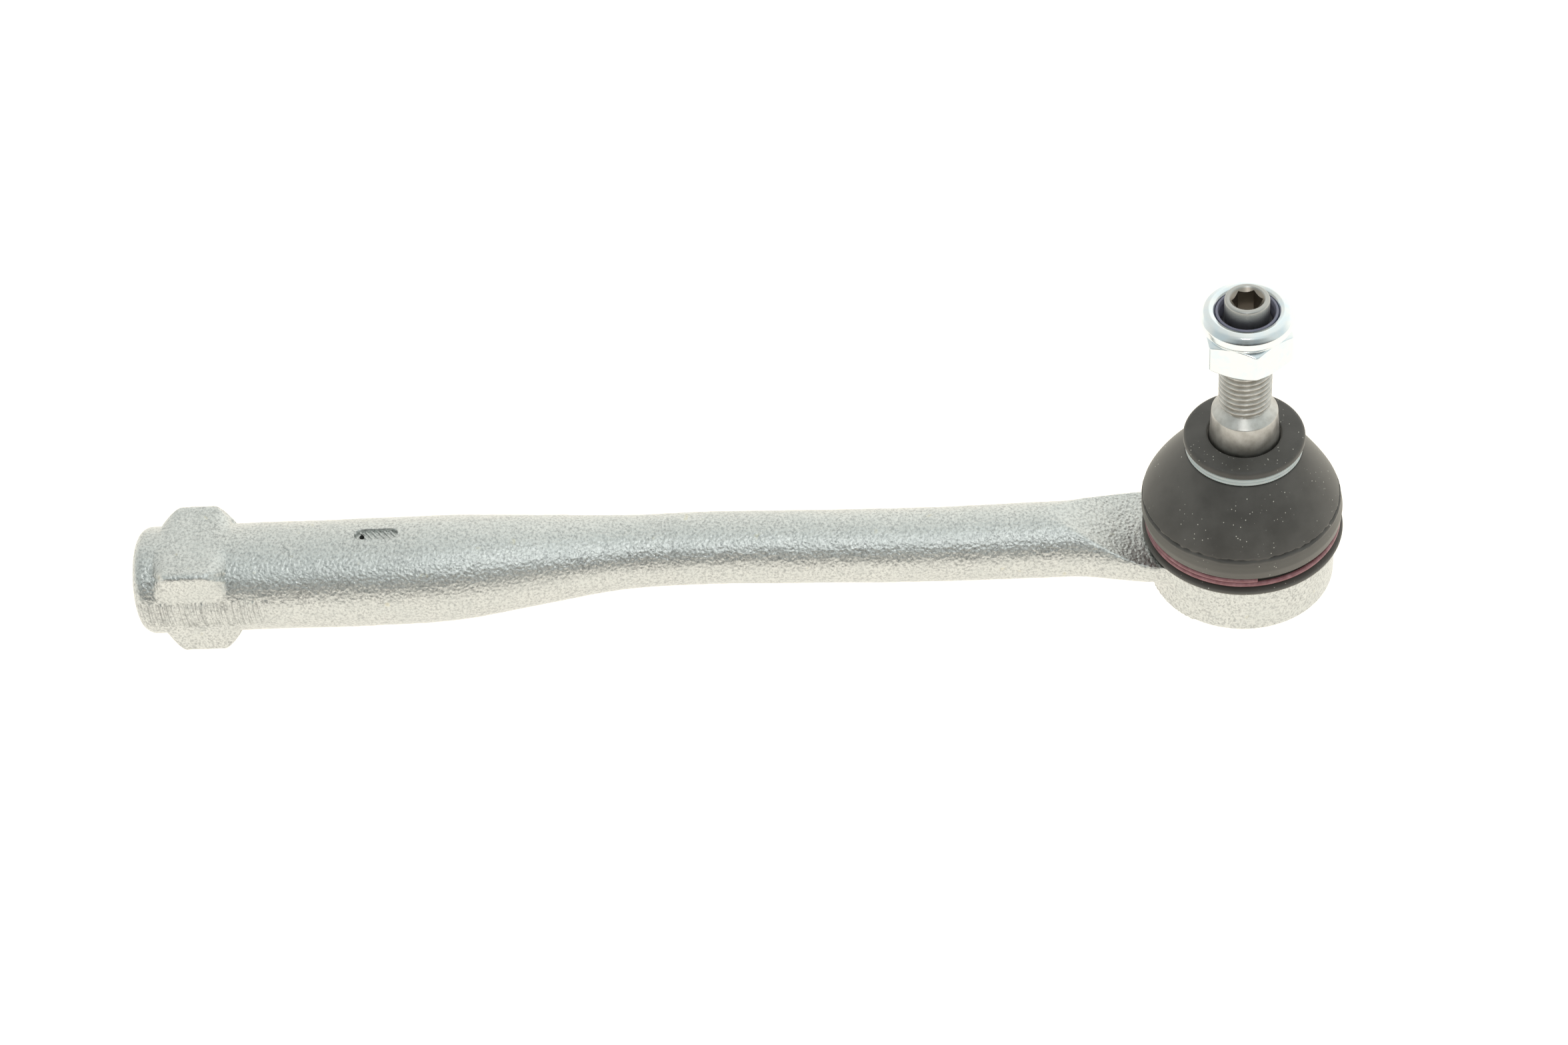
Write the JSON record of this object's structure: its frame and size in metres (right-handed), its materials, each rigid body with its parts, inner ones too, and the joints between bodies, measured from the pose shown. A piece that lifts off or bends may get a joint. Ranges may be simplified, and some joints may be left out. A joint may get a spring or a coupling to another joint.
{
  "type": "tie rod end",
  "caption": "Forged arm with a threaded sleeve at one end and a booted ball joint with a tapered stud and lock nut at the other.",
  "frame": {"origin": "where the stud's axis meets the closing plate's outer face, which is the plane the part lies on", "axes": "+Z along the stud's axis towards its thread, the arm and sleeve along -X"},
  "size_m": [0.2855, 0.0466, 0.0844],
  "materials": {
    "zinc_plated_forging": "zinc plated over a shot-blasted forging",
    "bright_zinc": "bright zinc",
    "spring_steel": "oiled spring steel",
    "acetal": "moulded",
    "turned_steel": "turned and rolled",
    "boot_rubber": "moulded, matt",
    "coated_wire": "coated spring wire",
    "pale_band": "moulded, slightly translucent",
    "nylon": "moulded"
  },
  "bodies": {
    "housing": {"housing": "zinc_plated_forging", "closing_plate": "bright_zinc", "preload_spring": "spring_steel", "bearing_shell_lower": "acetal", "bearing_shell_upper": "acetal"},
    "boot_base": {"dust_boot": "boot_rubber", "boot_lower_ring": "coated_wire"},
    "boot_collar": {"boot_upper_ring": "pale_band"},
    "stud": {"ball_stud": "turned_steel"},
    "nut_carrier": {"nut_insert": "nylon"},
    "nut": {"lock_nut": "bright_zinc"}
  },
  "joints": [
    {"name": "boot_turn", "type": "hinge", "parent": "housing", "child": "boot_base", "pos_m": [0, 0, 0.0196], "axis": [0, 0, 1], "continuous": true},
    {"name": "stud_tilt", "type": "hinge", "parent": "boot_base", "child": "boot_collar", "pos_m": [0, 0, 0.0196], "axis": [0, 1, 0], "range_deg": [-26, 26], "deforming": ["dust_boot"]},
    {"name": "stud_spin", "type": "hinge", "parent": "boot_collar", "child": "stud", "pos_m": [0, 0, 0.0196], "axis": [0, 0, 1], "continuous": true},
    {"name": "nut_travel", "type": "slide", "parent": "stud", "child": "nut_carrier", "axis": [0, 0, 1], "range_m": [-0.0144, 0.0151]},
    {"name": "nut_turn", "type": "hinge", "parent": "nut_carrier", "child": "nut", "pos_m": [0, 0, 0.0686], "axis": [0, 0, 1], "range_deg": [-3450, 3600]}
  ],
  "couplings": [
    {"joint": "nut_travel", "follows": "nut_turn", "m_per_rad": 0.00023873}
  ]
}
